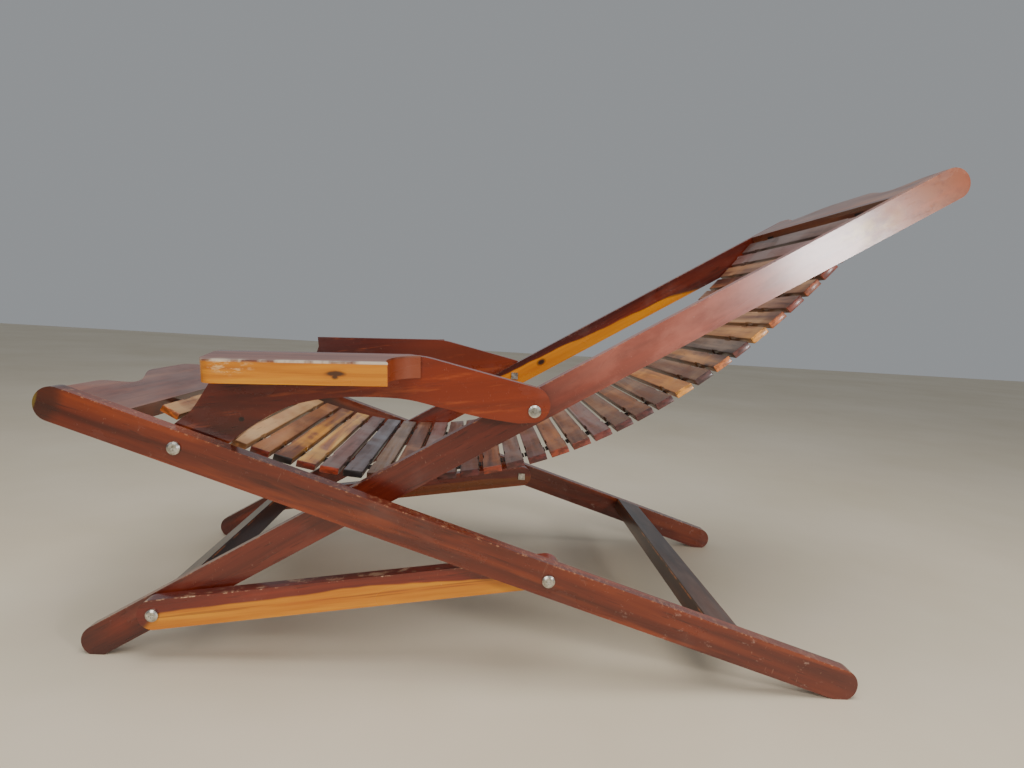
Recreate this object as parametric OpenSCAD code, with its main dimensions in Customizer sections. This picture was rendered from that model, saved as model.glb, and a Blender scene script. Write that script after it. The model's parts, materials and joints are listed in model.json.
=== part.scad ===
// Folding garden easy chair of varnished hardwood: two crossing frames, shaped arms,
// struts, and a hanging seat of thin slats on two webbing straps.
// Axes: X across (sitter's left is +X), Y along the chair (foot end is -Y), Z up, floor at Z = 0.

/* [Seat frame] */
// length of each long seat rail, from front tip to rear foot
seat_rail_len = 1086; // [1040:1:1130]
// slope of the seat rails below horizontal, degrees
seat_tilt = 17.64; // [16.5:0.02:18.5]
// depth of a seat rail, seen from the side
seat_rail_h = 42; // [38:0.5:46]
// thickness of a seat rail
seat_rail_t = 22; // [18:0.5:24]
// width of the chair over the two seat rails
seat_width = 606; // [580:1:640]
// where the rear foot meets the floor, along Y from the middle
rear_foot_y = 444.6; // [430:0.1:460]

/* [Back frame] */
// length of each long back rail, from front foot to top
back_rail_len = 1302; // [1260:1:1340]
// slope of the back rails above horizontal, degrees
back_tilt = 31.36; // [30:0.02:33]
// depth of a back rail, seen from the side
back_rail_h = 41; // [37:0.5:45]
// thickness of a back rail
back_rail_t = 20; // [16:0.5:22]
// where the front foot meets the floor, along Y from the middle
front_foot_y = -525.3; // [-540:0.1:-510]

/* [Pivots] */
// arm pivot on the seat rail, from the rail's front tip
arm_on_seat = 170.8; // [160:0.1:180]
// strut pivot on the seat rail, from the rail's front tip
strut_on_seat = 653.6; // [645:0.1:665]
// strut pivot on the back rail, from the rail's foot
strut_on_back = 116.3; // [108:0.1:124]
// arm pivot on the back rail, from the rail's foot
arm_on_back = 663.9; // [655:0.1:672]

/* [Arms and struts] */
// thickness of the arm panels and struts
link_t = 21; // [17:0.5:22]
// space between a seat rail and the arm panel, where the bolt heads turn
head_gap = 4.5; // [4.5:0.1:6]
// space between an arm panel or strut and the back rail, where the nuts turn
nut_gap = 5; // [4.8:0.1:6]
// depth of a strut
strut_h = 39; // [34:0.5:42]
// length of the arm rest block
arm_block_len = 251; // [225:1:262]
// width of the arm rest block, outward from the arm panel
arm_block_w = 58; // [45:1:66]
// thickness of the arm rest block
arm_block_t = 28; // [22:0.5:32]
// how far the arm rest block's top leans outward, degrees
arm_block_cant = 6; // [0:0.5:8]

/* [Boards and stretchers] */
// thickness of the front board and of the headboard
board_t = 22; // [16:0.5:22]
// rear edge of the front board, from the rail's front tip
front_board_end = 100; // [90:1:112]
// lower edge of the headboard, from the rail's foot
head_board_start = 1210; // [1195:1:1220]
// depth of the hollow in each board's wavy edge
scallop = 26; // [8:1:34]
// width of the rear stretcher, along the seat rails
rear_stretcher_w = 46; // [36:1:52]
// width of the front stretcher, along the back rails
front_stretcher_w = 36; // [28:1:44]

/* [Slatted seat] */
// width of a slat
slat_w = 25; // [20:0.5:26]
// thickness of a slat
slat_t = 9; // [6:0.5:10]
// length of a slat
slat_len = 446; // [420:1:448]
// how tightly the slats hang: the catenary's constant
sag = 579; // [540:1:640]
// how far each webbing strap is from the middle
strap_x = 150; // [110:1:190]
// width of a webbing strap
strap_w = 20; // [14:1:30]
// thickness of a webbing strap
strap_t = 2; // [1.5:0.5:2.5]
// depth of the notches in a slat's edges, over each strap
notch = 1.5; // [1:0.5:4]

/* [Bolts] */
// bolt shank diameter
bolt_d = 8; // [6:0.5:8]
// bolt head diameter
head_d = 16; // [13:0.5:18]
// width across the square nut
nut_w = 13; // [11:0.5:14]
// radial running clearance in each bore
run = 0.05; // [0.02:0.01:0.1]

/* [Hidden] */
$fn = 64;
n_slats = 35;
eps = 0.4;
sink = 2; // the feet are worn flat by this much
half = seat_width / 2;
xs = half - seat_rail_t;              // seat rail's inner face
xl1 = xs - head_gap;                  // arm panel's and strut's outer face
xl0 = xl1 - link_t;                   // and inner face
xb1 = xl0 - nut_gap;                  // back rail's outer face
xb0 = xb1 - back_rail_t;              // back rail's inner face
bolt_r = bolt_d / 2;
bore_r = bolt_r + run;
head_t = head_gap - 0.5;
nut_t = nut_gap - 1;
rs = seat_rail_h / 2;
rb = back_rail_h / 2;
rt = strut_h / 2;

function dir(a) = [cos(a), sin(a)];
function nor(a) = [-sin(a), cos(a)];
function to_angle(v) = atan2(v[1], v[0]);
// side-view points, [Y, Z]: along a rail from its lower-Y end, and square to it
seat_tip = [rear_foot_y, rs - sink] + dir(-seat_tilt) * (rs - seat_rail_len);
back_foot = [front_foot_y, rb - sink] - dir(back_tilt) * rb;
function on_seat(s, h = 0) = seat_tip + dir(-seat_tilt) * s + nor(-seat_tilt) * h;
function on_back(s, h = 0) = back_foot + dir(back_tilt) * s + nor(back_tilt) * h;
arm_front = on_seat(arm_on_seat);
arm_rear = on_back(arm_on_back);
strut_front = on_back(strut_on_back);
strut_rear = on_seat(strut_on_seat);
arm_tilt = to_angle(arm_rear - arm_front);
strut_tilt = to_angle(strut_rear - strut_front);

// the slats hang in a catenary from the front board to the headboard
hang_a = on_seat(front_board_end + 5, 19);
hang_b = on_back(head_board_start - 4, 10);
function sinh_(x) = (exp(x) - exp(-x)) / 2;
function cosh_(x) = (exp(x) + exp(-x)) / 2;
function asinh_(x) = ln(x + sqrt(x * x + 1));
low_y = (hang_a[0] + hang_b[0]) / 2
    - sag * asinh_((hang_b[1] - hang_a[1]) / (2 * sag * sinh_((hang_b[0] - hang_a[0]) / (2 * sag))));
low_z = hang_a[1] - sag * (cosh_((hang_a[0] - low_y) / sag) - 1);
arc_a = sag * sinh_((hang_a[0] - low_y) / sag);
arc_b = sag * sinh_((hang_b[0] - low_y) / sag);
end_gap = 3;
pitch = (arc_b - arc_a - 2 * end_gap) / n_slats;
function hang_at(s) = let (y = low_y + sag * asinh_((s + arc_a) / sag)) [y, low_z + sag * (cosh_((y - low_y) / sag) - 1)];
function hang_slope(s) = atan((s + arc_a) / sag);
// strap level at the gap before slat k
strap_drop = slat_t / 2 + strap_t / 2;
function gap_at(k) = let (s = end_gap + pitch * k) hang_at(s) - nor(hang_slope(s)) * strap_drop;

// slat sets that move as one piece, first and last slat of each
sets = [[0, 2], [3, 5], [6, 8], [9, 11], [12, 13], [14, 14], [15, 15], [16, 16],
        [17, 17], [18, 18], [19, 19], [20, 22], [23, 25], [26, 28], [29, 31], [32, 34]];
set_names = [for (i = [0 : len(sets) - 1]) str(i < 9 ? "0" : "", i + 1)];

// wavy outline of the boards: how far the edge stands back at distance x from the middle
function wave(x) = let (a = abs(x)) scallop * (a < 50 ? 0 : a < 155 ? (1 - cos(180 * (a - 50) / 105)) / 2
    : a < 215 ? 1 - 0.78 * (1 - cos(180 * (a - 155) / 60)) / 2 : 0.22);

// ---- helpers ----
// a slab with its outline in [Y, Z], from x0 outward by t
module slab(x0, t) translate([x0, 0, 0]) rotate([90, 0, 90]) linear_extrude(height = t) children();
module both() { children(); mirror([1, 0, 0]) children(); }
// mirror for the right-hand side
module hand(right) { if (right) mirror([1, 0, 0]) children(); else children(); }
module bore_at(p, x0, x1) translate([x0 - 1, p[0], p[1]]) rotate([0, 90, 0]) cylinder(r = bore_r, h = x1 - x0 + 2);
// round-ended bar between two side-view points
module bar2d(a, b, r) {
    l = norm(b - a);
    translate(a) rotate(to_angle(b - a)) union() {
        translate([0, -r]) square([l, 2 * r]);
        circle(r = r, $fn = 96);
        translate([l, 0]) circle(r = r, $fn = 96);
    }
}
module above_floor() difference() { children(); translate([-2000, -200]) square([4000, 200]); }

// ---- frames ----
module seat_rail(right) color([0.52, 0.20, 0.09]) hand(right) difference() {
    slab(xs, seat_rail_t) above_floor() bar2d(on_seat(rs), on_seat(seat_rail_len - rs), rs);
    bore_at(arm_front, xs, half);
    bore_at(strut_rear, xs, half);
}

module back_rail(right) color([0.55, 0.23, 0.11]) hand(right) difference() {
    slab(xb0, back_rail_t) above_floor() bar2d(on_back(rb), on_back(back_rail_len - rb), rb);
    bore_at(arm_rear, xb0, xb1);
    bore_at(strut_front, xb0, xb1);
}

// a board lying across a frame, its outline drawn in [X, distance along the rails]
module across(tip, tilt, h0, t) translate([0, tip[0], tip[1]]) rotate([tilt, 0, 0]) translate([0, 0, h0]) linear_extrude(height = t) children();

module front_board() color([0.50, 0.33, 0.28]) across(seat_tip, -seat_tilt, rs - board_t, board_t)
    polygon(concat([for (i = [0 : 112]) let (x = -xs + 2 * xs * i / 112) [x, 15 + wave(x)]],
                   [[xs, front_board_end], [-xs, front_board_end]]));

module headboard() color([0.55, 0.36, 0.30]) across(back_foot, back_tilt, rb - board_t, board_t)
    polygon(concat([for (i = [0 : 92]) let (x = xb0 - 2 * xb0 * i / 92) [x, back_rail_len - 15 - wave(x)]],
                   [[-xb0, head_board_start], [xb0, head_board_start]]));

module rear_stretcher() color([0.33, 0.17, 0.11]) across(seat_tip, -seat_tilt, rs - 22, 22)
    translate([-xs, 868]) square([2 * xs, rear_stretcher_w]);

module front_stretcher() color([0.33, 0.17, 0.11]) across(back_foot, back_tilt, rb - 26.5, 26.5)
    translate([-xb0, 140]) square([2 * xb0, front_stretcher_w]);

// ---- arms: outline relative to the front pivot, u along the arm and v square to it ----
arm_l = norm(arm_rear - arm_front);
arm_front_u = 52;                      // front end of the arm rest
top_fall = 6.3;                        // the arm panel's top slopes down to the rear by this, degrees
function arm_top(u) = 110.5 - tan(top_fall) * (u - arm_front_u);
// a smooth curve through a few template points
function spline(p, n = 5) = [for (i = [0 : len(p) - 2], j = [0 : n - 1])
    let (t = j / n, a = p[max(0, i - 1)], b = p[i], c = p[i + 1], d = p[min(len(p) - 1, i + 2)])
    0.5 * (2 * b + (c - a) * t + (2 * a - 5 * b + 4 * c - d) * t * t + (3 * b - a - 3 * c + d) * t * t * t)];
function arc(c, r, a0, a1, n) = [for (i = [0 : n]) c + r * [cos(a0 + (a1 - a0) * i / n), sin(a0 + (a1 - a0) * i / n)]];
leg_front = [[-16, 20], [-3, 29], [15, 41], [34, 64], [46, 80], [50, 88]];
belly = [[arm_l - 22, -13.5], [arm_l - 69, -1], [arm_l - 118, 16], [arm_l - 166, 31.5], [198, 40], [148, 37.5],
         [117, 29], [91, 17], [71, 6], [56, -4], [38, -15], [17, -21]];
module arm_outline() {
    polygon(concat(
        spline(leg_front),
        [[arm_front_u, 92], [arm_front_u, arm_top(arm_front_u)]],
        spline([[arm_l - 150, arm_top(arm_l - 150)], [arm_l - 141, 82.5], [arm_l - 130, 80], [arm_l - 118, 76]]),
        arc([arm_l - 2, 8], 22.5, 68, -100, 28),
        spline(belly),
        arc([0, 0], 21.5, -78, -215, 24)
    ));
}

module arm_panel(right) color([0.42, 0.14, 0.07]) hand(right) difference() {
    slab(xl0, link_t) translate(arm_front) rotate(arm_tilt) arm_outline();
    bore_at(arm_front, xl0, xl1);
    bore_at(arm_rear, xl0, xl1);
}

cove_r = 36.8;
// the rest's top falls outward a little, so its outer edge lies lower than the panel's top
module arm_block(right) color([0.78, 0.44, 0.07]) hand(right)
    translate([xl1, arm_front[0], arm_front[1]]) rotate([arm_tilt, 0, 0])
    translate([0, arm_front_u, arm_top(arm_front_u)]) rotate([-top_fall, 0, 0]) difference() {
        rotate([0, arm_block_cant, 0]) translate([0, 0, -arm_block_t]) linear_extrude(height = arm_block_t) difference() {
            union() {
                translate([-6, 0]) square([arm_block_w + 6, arm_block_len - 33]);
                translate([-6, 0]) square([11 + cove_r, arm_block_len]);
            }
            // rounded outer front corner
            difference() {
                translate([arm_block_w - 16, -1]) square([20, 17]);
                translate([arm_block_w - 16, 16]) circle(r = 16);
            }
            // cove at the rear
            translate([5 + cove_r, arm_block_len]) circle(r = cove_r, $fn = 96);
        }
        translate([-30, -10, -80]) cube([30, arm_block_len + 20, 100]);
    }

module strut(right) color([0.62, 0.28, 0.08]) hand(right) difference() {
    slab(xl0, link_t) bar2d(strut_front, strut_rear, rt);
    bore_at(strut_front, xl0, xl1);
    bore_at(strut_rear, xl0, xl1);
}

// ---- hardware ----
// pan head with a cross recess, its face outward at x and its shank running inward by l
module pan_bolt(p, x, l) translate([x, p[0], p[1]]) rotate([0, 90, 0]) {
    difference() {
        union() {
            cylinder(d = head_d, h = head_t - 1.6);
            translate([0, 0, head_t - 1.6]) cylinder(d1 = head_d, d2 = head_d - 5, h = 1.6);
        }
        for (a = [0, 90]) rotate(a) translate([-2.8, -0.6, head_t - 1.4]) cube([5.6, 1.2, 2]);
    }
    translate([0, 0, -l]) cylinder(r = bolt_r, h = l);
}
module square_nut(p, x, t, tail = 0) translate([x, p[0], p[1]]) rotate([0, 90, 0]) difference() {
    translate([-nut_w / 2, -nut_w / 2, 0]) cube([nut_w, nut_w, t]);
    translate([0, 0, -1]) cylinder(r = bore_r, h = t + 2);
}
// four bolts through the seat rails: the arms and the struts turn on them
module seat_bolts() color([0.80, 0.80, 0.78]) both() {
    pan_bolt(arm_front, half, half - xl0 + nut_t);
    pan_bolt(strut_rear, half, half - xl0 + nut_t);
}
// two bolts through the arms, the back frame turns on them
module arm_bolts() color([0.80, 0.80, 0.78]) both() pan_bolt(arm_rear, xl1, xl1 - xb0 + nut_t);
// the strut's lower bolts: each is cut in the space between strut and back rail
module strut_bolts() color([0.80, 0.80, 0.78]) both() pan_bolt(strut_front, xl1, link_t + nut_gap / 2 - 0.2);
module link_nuts_arm() color([0.70, 0.70, 0.68]) both() square_nut(arm_front, xl0 - nut_t, nut_t);
module link_nuts_strut() color([0.70, 0.70, 0.68]) both() square_nut(strut_rear, xl0 - nut_t, nut_t);
module back_nuts() color([0.70, 0.70, 0.68]) both() {
    square_nut(arm_rear, xb0 - nut_t, nut_t);
    square_nut(strut_front, xb0 - nut_t, nut_t);
    translate([xb0 - nut_t, strut_front[0], strut_front[1]]) rotate([0, 90, 0])
        cylinder(r = bolt_r, h = back_rail_t + nut_t + nut_gap / 2 - 0.2);
}

// ---- hanging seat ----
module slat(k) {
    s = end_gap + pitch * (k + 0.5);
    c = hang_at(s);
    translate([0, c[0], c[1]]) rotate([hang_slope(s), 0, 0]) difference() {
        translate([-slat_len / 2, -slat_w / 2, -slat_t / 2]) cube([slat_len, slat_w, slat_t]);
        for (x = [-strap_x, strap_x], y = [-slat_w / 2, slat_w / 2])
            translate([x - strap_w / 2 - 1.5, y - notch, -slat_t]) cube([strap_w + 3, 2 * notch, 2 * slat_t]);
    }
}
module slats(i) color([0.62, 0.42, 0.25]) for (k = [sets[i][0] : sets[i][1]]) slat(k);

// a strap strip under each slat of a set, ending short of the set's hinge lines
module straps(i) color([0.12, 0.09, 0.08]) both() slab(strap_x - strap_w / 2, strap_w) {
    a = sets[i][0]; b = sets[i][1];
    pts = [for (k = [a : b]) each let (s = end_gap + pitch * (k + 0.5), c = hang_at(s), t = hang_slope(s),
               l = k == a ? norm(gap_at(k) - (c - nor(t) * strap_drop)) - 0.6 : slat_w / 2,
               r = k == b ? norm(gap_at(k + 1) - (c - nor(t) * strap_drop)) - 0.6 : slat_w / 2)
               [[c - dir(t) * l, t], [c + dir(t) * r, t]]];
    polygon(concat([for (q = pts) q[0] - nor(q[1]) * (slat_t / 2)],
                   [for (j = [len(pts) - 1 : -1 : 0]) pts[j][0] - nor(pts[j][1]) * (slat_t / 2 + strap_t)]));
}

// the straps' ends, tacked to the boards
module strap_tails_front() color([0.12, 0.09, 0.08]) both() slab(strap_x - strap_w / 2, strap_w) {
    g = gap_at(0);
    w = on_seat(front_board_end);
    translate(w) rotate(-seat_tilt) translate([0, rs - board_t + 1]) square([strap_t, 13]);
    polygon([on_seat(front_board_end, 9.5), on_seat(front_board_end, 14), g + nor(hang_slope(0)) * 1 - dir(hang_slope(0)) * 0.6,
             g - nor(hang_slope(0)) * 1 - dir(hang_slope(0)) * 0.6]);
}
module strap_tails_head() color([0.12, 0.09, 0.08]) both() slab(strap_x - strap_w / 2, strap_w) {
    g = gap_at(n_slats);
    t = hang_slope(end_gap + pitch * n_slats);
    translate(on_back(head_board_start)) rotate(back_tilt) translate([-strap_t, rb - board_t + 1]) square([strap_t, 13]);
    polygon([on_back(head_board_start, 0), on_back(head_board_start, 6), g + nor(t) * 1 + dir(t) * 0.6, g - nor(t) * 1 + dir(t) * 0.6]);
}

seat_rail(false);  // seat_rail_l
seat_rail(true);  // seat_rail_r
front_board();
rear_stretcher();
back_rail(false);  // back_rail_l
back_rail(true);  // back_rail_r
headboard();
front_stretcher();
arm_panel(false);  // arm_panel_l
arm_panel(true);  // arm_panel_r
arm_block(false);  // arm_block_l
arm_block(true);  // arm_block_r
strut(false);  // strut_l
strut(true);  // strut_r
seat_bolts();
arm_bolts();
strut_bolts();
link_nuts_arm();
link_nuts_strut();
back_nuts();
strap_tails_front();
strap_tails_head();
for (i = [0 : len(sets) - 1]) {
    slats(i);
    straps(i);
}
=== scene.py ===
import json
import math

import bmesh
import bpy
from mathutils import Matrix, Vector


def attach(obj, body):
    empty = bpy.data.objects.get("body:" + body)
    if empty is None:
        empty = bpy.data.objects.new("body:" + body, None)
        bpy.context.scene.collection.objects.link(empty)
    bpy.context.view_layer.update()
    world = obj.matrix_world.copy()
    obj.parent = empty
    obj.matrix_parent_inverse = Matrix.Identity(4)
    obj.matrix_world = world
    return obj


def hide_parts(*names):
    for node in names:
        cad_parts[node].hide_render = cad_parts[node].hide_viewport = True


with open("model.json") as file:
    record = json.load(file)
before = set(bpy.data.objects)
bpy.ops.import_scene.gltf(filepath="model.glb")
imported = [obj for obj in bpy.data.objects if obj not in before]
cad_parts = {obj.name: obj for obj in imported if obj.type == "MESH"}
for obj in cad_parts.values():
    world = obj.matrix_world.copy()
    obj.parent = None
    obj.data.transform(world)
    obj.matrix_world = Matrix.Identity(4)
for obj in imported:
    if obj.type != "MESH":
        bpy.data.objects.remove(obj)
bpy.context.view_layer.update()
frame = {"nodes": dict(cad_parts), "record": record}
NODES = frame["nodes"]
BODY = {n: b for b, ns in frame["record"]["behaviour"]["bodies"].items() for n in ns}
SCENE = bpy.context.scene

# ---------------------------------------------------------------- geometry of the frames, metres, [Y, Z]
SEAT_TILT, BACK_TILT = -17.64, 31.36


def d2(a):
    a = math.radians(a)
    return Vector((math.cos(a), math.sin(a)))


def n2(a):
    a = math.radians(a)
    return Vector((-math.sin(a), math.cos(a)))


RS, RB = 0.021, 0.0205
SEAT_TIP = Vector((0.4446, RS - 0.002)) + d2(SEAT_TILT) * (RS - 1.086)
BACK_FOOT = Vector((-0.5253, RB - 0.002)) - d2(BACK_TILT) * RB


def on_seat(s, h=0):
    return SEAT_TIP + d2(SEAT_TILT) * s + n2(SEAT_TILT) * h


def on_back(s, h=0):
    return BACK_FOOT + d2(BACK_TILT) * s + n2(BACK_TILT) * h


ARM_FRONT, ARM_REAR = on_seat(0.1708), on_back(0.6639)
STRUT_FRONT, STRUT_REAR = on_back(0.1163), on_seat(0.6536)


def tilt_of(a, b):
    v = b - a
    return math.degrees(math.atan2(v[1], v[0]))


ARM_TILT = tilt_of(ARM_FRONT, ARM_REAR)
STRUT_TILT = tilt_of(STRUT_FRONT, STRUT_REAR)

SAG, PITCH, END_GAP, N_SLATS = 0.579, None, 0.003, 35
HA, HB = on_seat(0.105, 0.019), on_back(1.206, 0.010)
LOW_Y = (HA[0] + HB[0]) / 2 - SAG * math.asinh((HB[1] - HA[1]) / (2 * SAG * math.sinh((HB[0] - HA[0]) / (2 * SAG))))
LOW_Z = HA[1] - SAG * (math.cosh((HA[0] - LOW_Y) / SAG) - 1)
ARC_A, ARC_B = SAG * math.sinh((HA[0] - LOW_Y) / SAG), SAG * math.sinh((HB[0] - LOW_Y) / SAG)
PITCH = (ARC_B - ARC_A - 2 * END_GAP) / N_SLATS


def hang_at(s):
    y = LOW_Y + SAG * math.asinh((s + ARC_A) / SAG)
    return Vector((y, LOW_Z + SAG * (math.cosh((y - LOW_Y) / SAG) - 1)))


def hang_slope(s):
    return math.degrees(math.atan((s + ARC_A) / SAG))


SETS = [(0, 2), (3, 5), (6, 8), (9, 11), (12, 13), (14, 14), (15, 15), (16, 16),
        (17, 17), (18, 18), (19, 19), (20, 22), (23, 25), (26, 28), (29, 31), (32, 34)]


# ---------------------------------------------------------------- node material helper
def lin(c):
    """sRGB 0-255 to linear"""
    return tuple(((x / 255) / 12.92 if x / 255 <= 0.04045 else ((x / 255 + 0.055) / 1.055) ** 2.4) for x in c)


class Mat:
    def __init__(self, name):
        self.m = bpy.data.materials.new(name)
        self.m.use_nodes = True
        self.t = self.m.node_tree
        self.bsdf = self.t.nodes["Principled BSDF"]
        self.obj = self.t.nodes.new("ShaderNodeTexCoord").outputs["Object"]

    def put(self, socket, v):
        if hasattr(v, "is_output") or isinstance(v, bpy.types.NodeSocket):
            self.t.links.new(v, socket)
        elif isinstance(v, (tuple, list, Vector)) and len(v) == 3 and socket.type == "RGBA":
            socket.default_value = (*v, 1)
        else:
            socket.default_value = v

    def math(self, op, a, b=0.0, c=0.0, clamp=False):
        n = self.t.nodes.new("ShaderNodeMath")
        n.operation = op
        n.use_clamp = clamp
        self.put(n.inputs[0], a)
        self.put(n.inputs[1], b)
        self.put(n.inputs[2], c)
        return n.outputs[0]

    def mix(self, f, a, b, blend="MIX"):
        n = self.t.nodes.new("ShaderNodeMix")
        n.data_type = "RGBA"
        n.blend_type = blend
        self.put(n.inputs[0], f)
        self.put(n.inputs[6], a)
        self.put(n.inputs[7], b)
        return n.outputs[2]

    def local(self, origin, tilt):
        """object coordinates with the origin moved and turned about X, so that x is across, y along the rail and z square to it"""
        n = self.t.nodes.new("ShaderNodeMapping")
        n.vector_type = "TEXTURE"
        n.inputs["Location"].default_value = (0, origin[0], origin[1])
        n.inputs["Rotation"].default_value = (math.radians(tilt), 0, 0)
        self.t.links.new(self.obj, n.inputs["Vector"])
        return n.outputs[0]

    def scaled(self, v, scale, loc=(0, 0, 0)):
        n = self.t.nodes.new("ShaderNodeMapping")
        n.inputs["Scale"].default_value = scale
        n.inputs["Location"].default_value = loc
        self.t.links.new(v, n.inputs["Vector"])
        return n.outputs[0]

    def xyz(self, v):
        n = self.t.nodes.new("ShaderNodeSeparateXYZ")
        self.t.links.new(v, n.inputs[0])
        return n.outputs

    def noise(self, v, scale=1.0, detail=4.0, rough=0.55, dist=0.0):
        n = self.t.nodes.new("ShaderNodeTexNoise")
        n.inputs["Scale"].default_value = scale
        n.inputs["Detail"].default_value = detail
        n.inputs["Roughness"].default_value = rough
        n.inputs["Distortion"].default_value = dist
        self.t.links.new(v, n.inputs["Vector"])
        return n.outputs["Fac"]

    def ramp(self, f, stops):
        n = self.t.nodes.new("ShaderNodeValToRGB")
        e = n.color_ramp.elements
        while len(e) < len(stops):
            e.new(0.5)
        for i, (p, c) in enumerate(stops):
            e[i].position = p
            e[i].color = (*c, 1) if not isinstance(c, float) else (c, c, c, 1)
        self.put(n.inputs[0], f)
        return n.outputs[0]

    def step(self, f, lo, hi):
        n = self.t.nodes.new("ShaderNodeMapRange")
        n.interpolation_type = "SMOOTHSTEP"
        self.put(n.inputs["Value"], f)
        n.inputs["From Min"].default_value = lo
        n.inputs["From Max"].default_value = hi
        n.inputs["To Min"].default_value = 0
        n.inputs["To Max"].default_value = 1
        return n.outputs[0]

    def spot(self, v, at, size, soft=0.6, ragged=0.0, rscale=30.0):
        """1 inside an ellipse round at, in local coordinates"""
        n = self.t.nodes.new("ShaderNodeMapping")
        n.vector_type = "TEXTURE"
        n.inputs["Location"].default_value = at
        n.inputs["Scale"].default_value = size
        self.t.links.new(v, n.inputs["Vector"])
        ln = self.t.nodes.new("ShaderNodeVectorMath")
        ln.operation = "LENGTH"
        self.t.links.new(n.outputs[0], ln.inputs[0])
        r = ln.outputs["Value"]
        if ragged:
            r = self.math("ADD", r, self.math("MULTIPLY", self.math("SUBTRACT", self.noise(v, rscale), 0.5), ragged * 2))
        return self.math("SUBTRACT", 1.0, self.step(r, 1 - soft, 1 + soft * 0.3))


def wood(name, slot, origin, tilt, along, light, mid, dark, seed=0.0, rough=0.27, coat=0.42, streak=0.6, blotch=0.5,
         extra=None, grain_bump=0.12, wear=None):
    """varnished wood. along is 'y' for rails and 'x' for boards and slats"""
    m = Mat(name)
    p = m.local(origin, tilt)
    if along == "y":
        fine, mid_s, big = (150, 5, 150), (34, 1.6, 34), (9, 1.7, 9)
    else:
        fine, mid_s, big = (6, 170, 150), (2.0, 42, 34), (3.5, 14, 9)
    sd = (seed * 3.1, seed * 5.7, seed * 1.3)
    g1 = m.noise(m.scaled(p, fine, sd), 1, 3, 0.6, 0.3)
    g2 = m.noise(m.scaled(p, mid_s, sd), 1, 5, 0.6, 0.9)
    g3 = m.noise(m.scaled(p, big, sd), 1, 2, 0.5, 0.4)
    col = m.ramp(g2, [(0.34, lin(dark)), (0.5, lin(mid)), (0.66, lin(light))])
    col = m.mix(m.math("MULTIPLY", m.step(g3, 0.46, 0.66), blotch), col, lin(dark))
    col = m.mix(m.math("MULTIPLY", m.step(g3, 0.5, 0.3), 0.0), col, lin(light))
    # thin dark streaks and pores along the grain
    col = m.mix(m.math("MULTIPLY", m.step(g1, 0.56, 0.72), streak * 0.55), col, tuple(x * 0.35 for x in lin(dark)))
    pore_scale = (420, 26, 420) if along == "y" else (26, 420, 420)
    pore = m.step(m.noise(m.scaled(p, pore_scale, sd), 1, 1, 0.5), 0.66, 0.72)
    col = m.mix(m.math("MULTIPLY", pore, 0.45), col, tuple(x * 0.25 for x in lin(dark)))
    rg = m.math("ADD", rough, m.math("MULTIPLY", m.math("SUBTRACT", g3, 0.5), 0.25))
    # rubbed and dusty places dull the varnish
    dust = m.step(m.noise(m.scaled(p, (14, 9, 14), sd), 1, 6, 0.65), 0.52, 0.74)
    col = m.mix(m.math("MULTIPLY", dust, 0.05), col, lin((200, 185, 170)))
    rg = m.math("ADD", rg, m.math("MULTIPLY", dust, 0.16))
    # fine pale scratches
    sc = m.step(m.noise(m.scaled(p, (60, 300, 90) if along == "y" else (300, 60, 90), (seed, 1, 2)), 1, 1, 0.4, 2.5), 0.735, 0.76)
    col = m.mix(m.math("MULTIPLY", sc, 0.14), col, lin((225, 190, 160)))
    if extra:
        col, rg = extra(m, p, col, rg)
    m.put(m.bsdf.inputs["Base Color"], col)
    m.put(m.bsdf.inputs["Roughness"], rg)
    m.bsdf.inputs["Coat Weight"].default_value = coat
    m.bsdf.inputs["Coat Roughness"].default_value = 0.16
    m.bsdf.inputs["IOR"].default_value = 1.5
    b = m.t.nodes.new("ShaderNodeBump")
    b.inputs["Strength"].default_value = grain_bump
    b.inputs["Distance"].default_value = 0.0006
    m.t.links.new(m.math("ADD", m.math("MULTIPLY", g1, 0.6), m.math("MULTIPLY", pore, -0.7)), b.inputs["Height"])
    m.t.links.new(b.outputs[0], m.bsdf.inputs["Normal"])
    m.m["slot"] = slot
    return m.m


def dress(obj, material, bevel=0.0012, seg=3):
    obj.data.materials.clear()
    obj.data.materials.append(material)
    if bevel:
        b = obj.modifiers.new("edge", "BEVEL")
        b.width = bevel
        b.segments = seg
        b.limit_method = "ANGLE"
        b.angle_limit = math.radians(40)
        b.harden_normals = True
    for f in obj.data.polygons:
        f.use_smooth = True
    return obj


# ---------------------------------------------------------------- wood finishes
def seam(m, p, z0, z1, xlo=None, power=1.0, nscale=(30, 55, 30)):
    """a broken pale line where the varnish has rubbed off an edge: z between z0 and z1 in local height"""
    z = m.xyz(p)[2]
    band = m.math("MULTIPLY", m.step(z, z0, z0 + 0.0012), m.math("SUBTRACT", 1.0, m.step(z, z1 - 0.0008, z1)))
    broken = m.step(m.noise(m.scaled(p, tuple(q * 2.4 for q in nscale)), 1, 6, 0.75), 0.52, 0.60)
    return m.math("MULTIPLY", m.math("MULTIPLY", band, broken), power)


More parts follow.
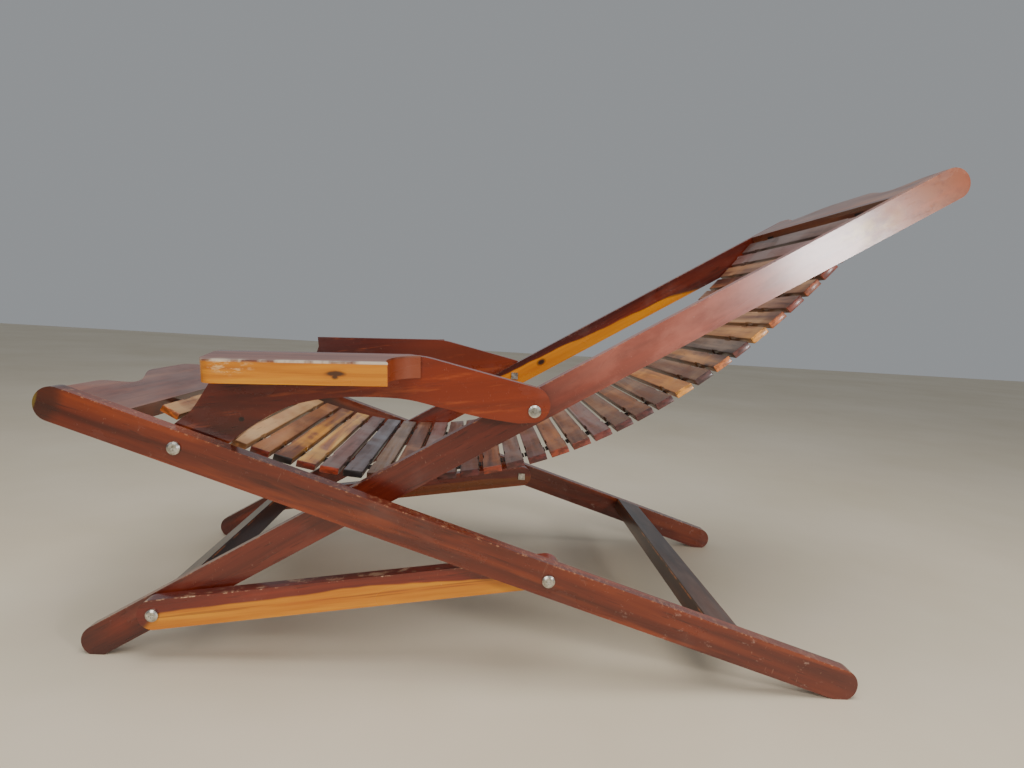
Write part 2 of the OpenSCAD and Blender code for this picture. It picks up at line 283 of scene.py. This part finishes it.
def seat_rail_extra(m, p, col, rg):
    y = m.xyz(p)[1]
    z = m.xyz(p)[2]
    # darker, redder lower half and a warmer worn band along the middle
    low = m.step(z, 0.004, -0.018)
    col = m.mix(m.math("MULTIPLY", low, 0.25), col, lin((84, 22, 8)))
    warm = m.math("MULTIPLY", m.step(m.noise(m.scaled(p, (8, 3.2, 40)), 1, 4, 0.6), 0.5, 0.68), 0.45)
    col = m.mix(warm, col, lin((164, 70, 24)))
    # rubbed edges
    s = m.math("ADD", seam(m, p, 0.0192, 0.0214, power=0.5), seam(m, p, -0.0214, -0.0200, power=0.2), clamp=True)
    col = m.mix(s, col, lin((214, 160, 120)))
    # dark rounded ends with a greenish-yellow rim at the front tip
    tip = m.spot(p, (0.292, 0.006, 0), (0.05, 0.030, 0.05), 0.5, 0.25)
    col = m.mix(m.math("MULTIPLY", tip, 0.75), col, lin((50, 20, 12)))
    rim = m.spot(p, (0.292, 0.001, -0.002), (0.05, 0.0035, 0.017), 0.6, 0.5)
    col = m.mix(m.math("MULTIPLY", rim, 0.4), col, lin((150, 130, 40)))
    foot = m.step(y, 1.045, 1.08)
    col = m.mix(m.math("MULTIPLY", foot, 0.45), col, lin((92, 34, 22)))
    # dust and scuffs towards the foot
    sc = m.math("MULTIPLY", m.step(m.noise(m.scaled(p, (70, 60, 90)), 1, 6, 0.7), 0.60, 0.68), m.step(y, 0.55, 0.95))
    col = m.mix(m.math("MULTIPLY", sc, 0.22), col, lin((222, 196, 178)))
    return col, rg


def back_rail_extra(m, p, col, rg):
    x, y, z = m.xyz(p)
    near = m.step(x, 0.0, 0.05)
    far = m.math("SUBTRACT", 1.0, near)
    # near rail: a pinkish painted highlight haze up the back round the window lamp's bright patch, a yellowish patch
    # and a mottled top
    painted_highlight_haze = m.math("MULTIPLY", m.math("MULTIPLY", m.step(y, 0.60, 0.84), m.math("SUBTRACT", 1.0, m.step(y, 1.13, 1.19))), near)
    painted_highlight_haze = m.math("MULTIPLY", painted_highlight_haze, m.math("ADD", 0.55, m.math("MULTIPLY", m.step(m.noise(m.scaled(p, (16, 14, 30)), 1, 5, 0.6), 0.35, 0.65), 0.45)))
    # the pinkish colour mixed in here is painted highlight haze
    col = m.mix(m.math("MULTIPLY", painted_highlight_haze, 0.62), col, lin((196, 122, 104)))
    yel = m.math("MULTIPLY", m.spot(p, (0.24, 1.165, 0.0), (0.2, 0.05, 0.022), 0.7, 0.4), near)
    col = m.mix(m.math("MULTIPLY", m.math("MULTIPLY", yel, m.step(m.noise(m.scaled(p, (20, 26, 40)), 1, 5, 0.7), 0.36, 0.6)), 0.7), col, lin((212, 178, 110)))
    topc = m.math("MULTIPLY", m.step(y, 1.15, 1.20), near)
    col = m.mix(m.math("MULTIPLY", topc, 0.6), col, lin((186, 110, 66)))
    mot = m.math("MULTIPLY", m.math("MULTIPLY", m.step(y, 1.17, 1.23), near), m.step(m.noise(m.scaled(p, (30, 34, 50)), 1, 6, 0.75), 0.46, 0.62))
    col = m.mix(m.math("MULTIPLY", mot, 0.5), col, lin((112, 48, 26)))
    # sapwood: a yellow-orange lower half on the far rail's inner side
    edge = m.math("ADD", z, m.math("MULTIPLY", m.math("SUBTRACT", m.noise(m.scaled(p, (10, 7, 10)), 1, 3, 0.5), 0.5), 0.020))
    edge = m.math("ADD", edge, m.math("MULTIPLY", m.math("SUBTRACT", y, 0.66), 0.045))
    sap = m.math("MULTIPLY", m.math("SUBTRACT", 1.0, m.step(edge, 0.0095, 0.0125)), far)
    sap = m.math("MULTIPLY", sap, m.math("MULTIPLY", m.step(y, 0.52, 0.60), m.math("SUBTRACT", 1.0, m.step(m.math("ADD", y, m.math("MULTIPLY", z, 4.0)), 0.97, 1.0))))
    gold = m.ramp(m.noise(m.scaled(p, (40, 3, 60)), 1, 4, 0.6), [(0.35, lin((200, 112, 0))), (0.65, lin((228, 146, 4)))])
    col = m.mix(sap, col, gold)
    knot = m.spot(p, (-0.231, 0.724, -0.001), (0.05, 0.011, 0.0065), 0.6, 0.3)
    col = m.mix(knot, col, lin((52, 20, 10)))
    s = m.math("ADD", seam(m, p, 0.0188, 0.0209, power=0.4), seam(m, p, -0.0209, -0.0194, power=0.2), clamp=True)
    col = m.mix(s, col, lin((210, 150, 110)))
    tip = m.step(y, 1.26, 1.30)
    col = m.mix(m.math("MULTIPLY", tip, 0.5), col, lin((150, 72, 34)))
    foot = m.step(y, 0.06, 0.01)
    col = m.mix(m.math("MULTIPLY", foot, 0.6), col, lin((66, 30, 26)))
    return col, rg


def strut_extra(m, p, col, rg):
    x, y, z = m.xyz(p)
    near = m.step(x, 0.0, 0.05)
    wob = m.math("MULTIPLY", m.math("SUBTRACT", m.noise(m.scaled(p, (10, 6, 10)), 1, 3, 0.5), 0.5), 0.022)
    # the boundary of dark heartwood over golden sapwood falls, then rises along the strut
    line = m.math("ADD", z, wob)
    line = m.math("ADD", line, m.math("MULTIPLY", m.math("POWER", m.math("SUBTRACT", y, 0.20), 2.0), 0.075))
    sap = m.math("SUBTRACT", 1.0, m.step(line, 0.0030, 0.0060))
    sap = m.math("MULTIPLY", sap, m.step(m.math("SUBTRACT", y, m.math("MULTIPLY", z, 1.2)), 0.000, 0.014))
    gold = m.ramp(m.noise(m.scaled(p, (40, 4, 90)), 1, 4, 0.6), [(0.35, lin((190, 102, 2))), (0.65, lin((222, 144, 6)))])
    col = m.mix(m.math("MULTIPLY", sap, m.math("ADD", 0.15, m.math("MULTIPLY", near, 0.85))), col, gold)
    s = seam(m, p, 0.0175, 0.0199, power=0.8, nscale=(20, 14, 20))
    col = m.mix(s, col, lin((222, 186, 150)))
    st = m.math("MULTIPLY", m.step(m.noise(m.scaled(p, (60, 4, 240)), 1, 2, 0.5), 0.6, 0.66), m.math("MULTIPLY", sap, 0.5))
    col = m.mix(st, col, lin((120, 50, 14)))
    return col, rg


def arm_panel_extra(m, p, col, rg):
    x, y, z = m.xyz(p)
    # warmer towards the rear and darker towards the front, with paler flecks and a small dark spot
    rear = m.step(y, 0.10, 0.36)
    col = m.mix(m.math("MULTIPLY", rear, 0.45), col, lin((154, 60, 22)))
    front = m.step(y, 0.16, 0.04)
    col = m.mix(m.math("MULTIPLY", front, 0.45), col, lin((58, 14, 10)))
    fl = m.math("MULTIPLY", m.step(m.noise(m.scaled(p, (30, 10, 90)), 1, 4, 0.6), 0.56, 0.7), 0.4)
    col = m.mix(fl, col, lin((176, 84, 40)))
    spot = m.spot(p, (0.276, 0.074, 0.024), (0.03, 0.004, 0.0035), 0.5)
    col = m.mix(spot, col, lin((30, 10, 8)))
    return col, rg


def arm_block_extra(m, p, col, rg):
    x, y, z = m.xyz(p)
    ax = m.math("ABSOLUTE", x)
    z = m.math("ADD", z, m.math("MULTIPLY", m.math("SUBTRACT", ax, 0.2765), 0.105))
    red = m.math("SUBTRACT", 1.0, m.step(z, -0.0028, -0.0012))
    col = m.mix(m.math("MULTIPLY", red, 0.85), col, lin((138, 58, 26)))
    side = m.math("MULTIPLY", m.step(ax, 0.312, 0.322), m.math("SUBTRACT", 1.0, m.step(y, 0.2165, 0.2180)))
    # the golden outer face
    gold = m.ramp(m.noise(m.scaled(p, (40, 4, 90)), 1, 5, 0.6, 0.6), [(0.3, lin((178, 98, 1))), (0.5, lin((206, 126, 4))), (0.7, lin((226, 156, 18)))])
    top = m.step(z, -0.0035, -0.001)
    col = m.mix(m.math("MULTIPLY", side, m.math("SUBTRACT", 1.0, top)), col, gold)
    # knot with a narrow stem
    kn = m.math("MAXIMUM", m.spot(p, (0.332, 0.157, -0.0200), (0.03, 0.0135, 0.0040), 0.5, 0.3, 80),
                m.spot(p, (0.332, 0.157, -0.0235), (0.03, 0.0050, 0.0040), 0.6, 0.3, 80))
    col = m.mix(m.math("MULTIPLY", kn, 0.92), col, lin((42, 14, 8)))
    ring = m.spot(p, (0.332, 0.158, -0.020), (0.03, 0.018, 0.008), 0.9, 0.3)
    col = m.mix(m.math("MULTIPLY", m.math("MULTIPLY", ring, m.math("SUBTRACT", 1.0, kn)), 0.35), col, lin((150, 66, 10)))
    sc = m.math("MULTIPLY", m.spot(p, (0.334, 0.036, -0.014), (0.03, 0.030, 0.011), 0.7, 0.5), side)
    sc = m.math("MULTIPLY", sc, m.step(m.noise(m.scaled(p, (60, 60, 200)), 1, 4, 0.7), 0.48, 0.6))
    col = m.mix(m.math("MULTIPLY", sc, 0.5), col, lin((244, 216, 160)))
    line = m.math("MULTIPLY", m.math("MULTIPLY", m.step(z, -0.0030, -0.0016), m.step(ax, 0.324, 0.331)), m.step(m.noise(m.scaled(p, (9, 22, 9)), 1, 4, 0.6), 0.42, 0.56))
    col = m.mix(m.math("MULTIPLY", line, 0.7), col, lin((240, 224, 200)))
    return col, rg


def board_extra(m, p, col, rg):
    x, y, z = m.xyz(p)
    # the board's top is greyed, with dark streaks along the grain
    grey = m.math("MULTIPLY", m.step(z, 0.016, 0.0195), m.step(m.noise(m.scaled(p, (5, 30, 5)), 1, 4, 0.6), 0.34, 0.62))
    col = m.mix(m.math("MULTIPLY", grey, 0.40), col, lin((132, 106, 98)))
    st = m.step(m.noise(m.scaled(p, (3, 110, 60)), 1, 3, 0.6), 0.55, 0.7)
    col = m.mix(m.math("MULTIPLY", st, 0.45), col, lin((84, 44, 34)))
    return col, rg


def stretcher_extra(m, p, col, rg):
    x, y, z = m.xyz(p)
    grey = m.math("MULTIPLY", m.step(z, 0.0165, 0.0195), m.step(m.noise(m.scaled(p, (9, 40, 9)), 1, 4, 0.6), 0.4, 0.65))
    col = m.mix(m.math("MULTIPLY", grey, 0.35), col, lin((120, 96, 84)))
    line = m.math("MULTIPLY", m.step(z, 0.0165, 0.018), m.math("SUBTRACT", 1.0, m.step(z, 0.0188, 0.0196)))
    line = m.math("MULTIPLY", line, m.step(m.noise(m.scaled(p, (24, 30, 30)), 1, 4, 0.7), 0.42, 0.58))
    col = m.mix(m.math("MULTIPLY", line, 0.6), col, lin((212, 122, 56)))
    return col, rg


W = {}
W["seat_rail"] = wood("seat_rail_wood", "rail_wood", SEAT_TIP, SEAT_TILT, "y", (130, 52, 18), (105, 35, 12), (73, 21, 7), 1.0, blotch=0.3, extra=seat_rail_extra)
W["back_rail"] = wood("back_rail_wood", "rail_wood", BACK_FOOT, BACK_TILT, "y", (132, 48, 24), (103, 32, 16), (70, 19, 11), 2.0, blotch=0.3, extra=back_rail_extra)
W["arm_panel"] = wood("arm_panel_wood", "arm_wood", ARM_FRONT, ARM_TILT, "y", (117, 39, 16), (92, 25, 11), (64, 15, 8), 3.0, extra=arm_panel_extra)
ARM_BLOCK_AT = ARM_FRONT + d2(ARM_TILT) * 0.052 + n2(ARM_TILT) * 0.1105
W["arm_block"] = wood("arm_block_wood", "arm_rest_wood", ARM_BLOCK_AT, ARM_TILT - 6.3, "y", (150, 98, 78), (124, 70, 52), (96, 44, 28), 4.0, extra=arm_block_extra)
W["strut"] = wood("strut_wood", "strut_wood", STRUT_FRONT, STRUT_TILT, "y", (146, 50, 24), (112, 32, 16), (76, 20, 10), 5.0, extra=strut_extra)
W["front_board"] = wood("front_board_wood", "board_wood", SEAT_TIP, SEAT_TILT, "x", (150, 92, 66), (116, 62, 46), (84, 38, 28), 6.0, rough=0.3, extra=board_extra)
W["headboard"] = wood("headboard_wood", "board_wood", BACK_FOOT, BACK_TILT, "x", (154, 96, 62), (118, 64, 42), (80, 38, 24), 7.0, rough=0.3, extra=board_extra)
W["rear_stretcher"] = wood("rear_stretcher_wood", "stretcher_wood", SEAT_TIP, SEAT_TILT, "x", (92, 54, 34), (66, 38, 24), (42, 24, 16), 8.0, rough=0.38, coat=0.25, extra=stretcher_extra)
W["front_stretcher"] = wood("front_stretcher_wood", "stretcher_wood", BACK_FOOT, BACK_TILT, "x", (88, 54, 36), (62, 36, 24), (38, 22, 16), 9.0, rough=0.38, coat=0.3, extra=stretcher_extra)

for n, o in NODES.items():
    for k in ("seat_rail", "back_rail", "arm_panel", "arm_block", "strut_l", "strut_r", "front_board", "headboard", "rear_stretcher", "front_stretcher"):
        if n.startswith(k):
            key = "strut" if k.startswith("strut_") else k
            bev = {"seat_rail": 0.0022, "back_rail": 0.0022, "arm_block": 0.0028, "arm_panel": 0.0018, "strut": 0.0018,
                   "front_board": 0.003, "headboard": 0.003}.get(key, 0.0012)
            dress(o, W[key], bev)
            break

# ---------------------------------------------------------------- slats, each its own piece of wood
# light, mid, dark and end face colour of each slat
TAN, CREAM, GOLD, ORANGE, RED, BROWN, GREY, BLACK, MAUVE = ((176, 118, 72), (206, 164, 116), (222, 152, 50), (200, 104, 34), (126, 44, 24),
                                                          (104, 60, 40), (132, 116, 112), (34, 22, 20), (128, 92, 88))
SLAT = {
    0: (CREAM, TAN, BROWN, ORANGE), 1: (TAN, BROWN, RED, RED), 2: (CREAM, TAN, BROWN, ORANGE),
    3: (CREAM, CREAM, TAN, TAN), 4: (TAN, (170, 106, 56), BROWN, RED), 5: (GOLD, (150, 92, 52), (70, 36, 34), BLACK),
    6: ((224, 176, 96), (190, 128, 70), MAUVE, RED), 7: (GREY, MAUVE, (92, 66, 62), (172, 62, 28)), 8: ((120, 120, 128), (104, 92, 94), (60, 44, 44), BLACK),
    9: (GREY, (128, 100, 78), (76, 54, 46), BROWN),
}
CYCLE = [(GREY, MAUVE, BROWN, (120, 58, 52)), (MAUVE, BROWN, (74, 44, 36), (104, 42, 36)), ((160, 112, 82), BROWN, (80, 46, 34), (132, 60, 42)),
         (GREY, (116, 86, 76), (70, 48, 42), (98, 46, 40)), ((174, 110, 64), (124, 72, 46), (78, 40, 28), (150, 64, 36))]
for k in range(10, N_SLATS):
    SLAT[k] = CYCLE[(k * 3 + k // 5) % 5]
SLAT[20] = ((150, 112, 84), (118, 86, 66), BROWN, (96, 50, 48))
SLAT[21] = ((160, 106, 66), (120, 80, 56), BROWN, (92, 44, 40))
SLAT[22] = ((156, 116, 84), (110, 82, 66), BROWN, (100, 52, 48))
SLAT[23] = ((214, 146, 74), (176, 112, 62), (120, 72, 44), (232, 158, 70))
SLAT[24] = ((150, 118, 92), (112, 84, 70), BROWN, (92, 60, 58))
SLAT[25] = ((204, 142, 84), (140, 104, 80), (84, 56, 46), (210, 124, 66))
SLAT[26] = ((140, 116, 98), (104, 84, 72), (60, 46, 42), (110, 62, 56))
SLAT[27] = ((220, 164, 98), (190, 130, 74), BROWN, (238, 164, 76))
SLAT[28] = ((204, 160, 112), (170, 122, 80), BROWN, (206, 116, 66))
SLAT[30] = ((196, 146, 98), (150, 104, 74), BROWN, (178, 96, 58))
SLAT[32] = ((186, 136, 94), (140, 98, 72), BROWN, (140, 70, 48))


def slat_wood(k):
    light, mid, dark, end = SLAT[k]
    s = END_GAP + PITCH * (k + 0.5)
    c, t = hang_at(s), hang_slope(s)

    def extra(m, p, col, rg):
        x, y, z = m.xyz(p)
        # saw marks across the grain
        saw = m.step(m.noise(m.scaled(p, (420, 4, 4), (k, 0, 0)), 1, 2, 0.5), 0.54, 0.7)
        col = m.mix(m.math("MULTIPLY", saw, 0.16), col, lin((240, 220, 190)))
        # patches of other colour along the slat
        a = m.step(m.noise(m.scaled(p, (7, 9, 9), (k * 1.7, 0, 0)), 1, 3, 0.6), 0.5, 0.6)
        col = m.mix(m.math("MULTIPLY", a, 0.55), col, lin(light))
        b = m.step(m.noise(m.scaled(p, (5, 12, 12), (k * 2.9, 4, 0)), 1, 3, 0.6), 0.54, 0.64)
        col = m.mix(m.math("MULTIPLY", b, 0.6), col, lin(dark))
        # darker along both long edges
        e = m.step(m.math("ABSOLUTE", y), 0.0102, 0.0125)
        col = m.mix(m.math("MULTIPLY", e, 0.35), col, tuple(v * 0.4 for v in lin(dark)))
        ax = m.math("ABSOLUTE", x)
        face = m.step(ax, 0.2205, 0.2222)
        col = m.mix(face, col, m.mix(m.step(m.noise(m.scaled(p, (1, 90, 200), (k, 0, 0)), 1, 3, 0.6), 0.4, 0.6), lin(end), tuple(v * 0.45 for v in lin(end))))
        return col, rg

    return wood("slat_%02d_wood" % k, "slat_wood", c, t, "x", light, mid, dark, 10.0 + k * 1.37, rough=0.42, coat=0.22, extra=extra, grain_bump=0.3)


def island_meshes(node):
    """the separate solids of a CAD node, as new meshes"""
    bm = bmesh.new()
    bm.from_mesh(node.data)
    bmesh.ops.remove_doubles(bm, verts=bm.verts, dist=1e-6)
    seen, groups = set(), []
    for v in bm.verts:
        if v in seen:
            continue
        stack, group = [v], []
        seen.add(v)
        while stack:
            u = stack.pop()
            group.append(u)
            for e in u.link_edges:
                w = e.other_vert(u)
                if w not in seen:
                    seen.add(w)
                    stack.append(w)
        groups.append(group)
    out = []
    for g in groups:
        keep = set(g)
        b2 = bm.copy()
        b2.verts.ensure_lookup_table()
        idx = {v.index for v in keep}
        bmesh.ops.delete(b2, geom=[v for v in b2.verts if v.index not in idx], context="VERTS")
        bmesh.ops.dissolve_limit(b2, angle_limit=math.radians(1), verts=b2.verts, edges=b2.edges)
        me = bpy.data.meshes.new("island")
        b2.to_mesh(me)
        b2.free()
        out.append(me)
    bm.free()
    return out


bpy.context.view_layer.update()
for i, (a, b) in enumerate(SETS):
    node = "slats_%02d" % (i + 1)
    for me in island_meshes(NODES[node]):
        cy = sum(v.co.y for v in me.vertices) / len(me.vertices)
        cz = sum(v.co.z for v in me.vertices) / len(me.vertices)
        k = min(range(a, b + 1), key=lambda q: (hang_at(END_GAP + PITCH * (q + 0.5)) - Vector((cy, cz))).length)
        me.name = "slat_%02d" % k
        o = bpy.data.objects.new("slat_%02d" % k, me)
        SCENE.collection.objects.link(o)
        dress(o, slat_wood(k), 0.0011, 2)
        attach(o, BODY[node])
        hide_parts(node)

# ---------------------------------------------------------------- webbing and hardware
m = Mat("webbing_cloth")
p = m.obj
weave = m.noise(m.scaled(p, (900, 900, 900)), 1, 1, 0.5)
m.put(m.bsdf.inputs["Base Color"], m.mix(m.step(weave, 0.4, 0.7), lin((26, 20, 18)), lin((62, 50, 44))))
m.bsdf.inputs["Roughness"].default_value = 0.9
WEB = m.m

m = Mat("zinc")
p = m.obj
g = m.noise(m.scaled(p, (160, 160, 160)), 1, 5, 0.7)
m.put(m.bsdf.inputs["Base Color"], m.ramp(g, [(0.35, lin((150, 146, 136))), (0.65, lin((226, 224, 216)))]))
m.bsdf.inputs["Metallic"].default_value = 1.0
m.put(m.bsdf.inputs["Roughness"], m.math("ADD", 0.18, m.math("MULTIPLY", g, 0.25)))
ZINC = m.m

for n, o in NODES.items():
    if n.startswith("strap"):
        dress(o, WEB, 0)
    elif "bolts" in n or "nuts" in n:
        dress(o, ZINC, 0.0004, 2)

# ---------------------------------------------------------------- floor, light and camera
fm = Mat("floor")
g = fm.noise(fm.scaled(fm.obj, (1.3, 1.3, 1)), 1, 4, 0.6)
fm.put(fm.bsdf.inputs["Base Color"], fm.ramp(g, [(0.3, lin((216, 202, 176))), (0.7, lin((228, 216, 194)))]))
fm.bsdf.inputs["Roughness"].default_value = 0.62
me = bpy.data.meshes.new("floor")
me.from_pydata([(-8, -8, 0), (8, -8, 0), (8, 8, 0), (-8, 8, 0)], [], [(0, 1, 2, 3)])
floor = bpy.data.objects.new("floor", me)
me.materials.append(fm.m)
SCENE.collection.objects.link(floor)

world = bpy.data.worlds.new("studio")
SCENE.world = world
world.use_nodes = True
wt = world.node_tree
bg = wt.nodes["Background"]
bg.inputs["Color"].default_value = (0.82, 0.86, 0.90, 1)
bg.inputs["Strength"].default_value = 0.36


def area(name, loc, aim, size, power, color=(1, 1, 1)):
    li = bpy.data.lights.new(name, "AREA")
    li.shape = "RECTANGLE"
    li.size, li.size_y = size
    li.energy = power
    li.color = color
    o = bpy.data.objects.new(name, li)
    o.location = loc
    o.rotation_mode = "QUATERNION"
    o.rotation_quaternion = (Vector(aim) - Vector(loc)).to_track_quat("-Z", "Y")
    SCENE.collection.objects.link(o)
    return o


area("sky_panel", (0.7, 0.1, 2.5), (0, 0, 0.2), (1.8, 1.8), 44, (1.0, 0.98, 0.95))
area("front_panel", (2.3, -1.1, 1.5), (0, 0, 0.25), (1.4, 1.2), 21, (1.0, 0.95, 0.86))
# this one shows as the bright patch on the outer side of the back rail
area("window", (1.60, 1.10, 0.74), (0.25, 0.39, 0.575), (0.26, 0.20), 12, (1.0, 0.97, 0.96))

cam = bpy.data.cameras.new("camera")
cam.sensor_width = 36.0
cam.lens = 680.0 / 1024.0 * 36.0
cam.clip_start = 0.02
co = bpy.data.objects.new("camera", cam)
SCENE.collection.objects.link(co)
f = Vector((-0.99384, 0.05236, -0.09765)).normalized()
u = Vector((-0.10049, -0.05461, 0.99344))
r = f.cross(u).normalized()
u = r.cross(f).normalized()
co.matrix_world = Matrix(((r.x, u.x, -f.x, 1.1222), (r.y, u.y, -f.y, -0.0511), (r.z, u.z, -f.z, 0.4695), (0, 0, 0, 1)))
SCENE.camera = co

bpy.context.view_layer.update()
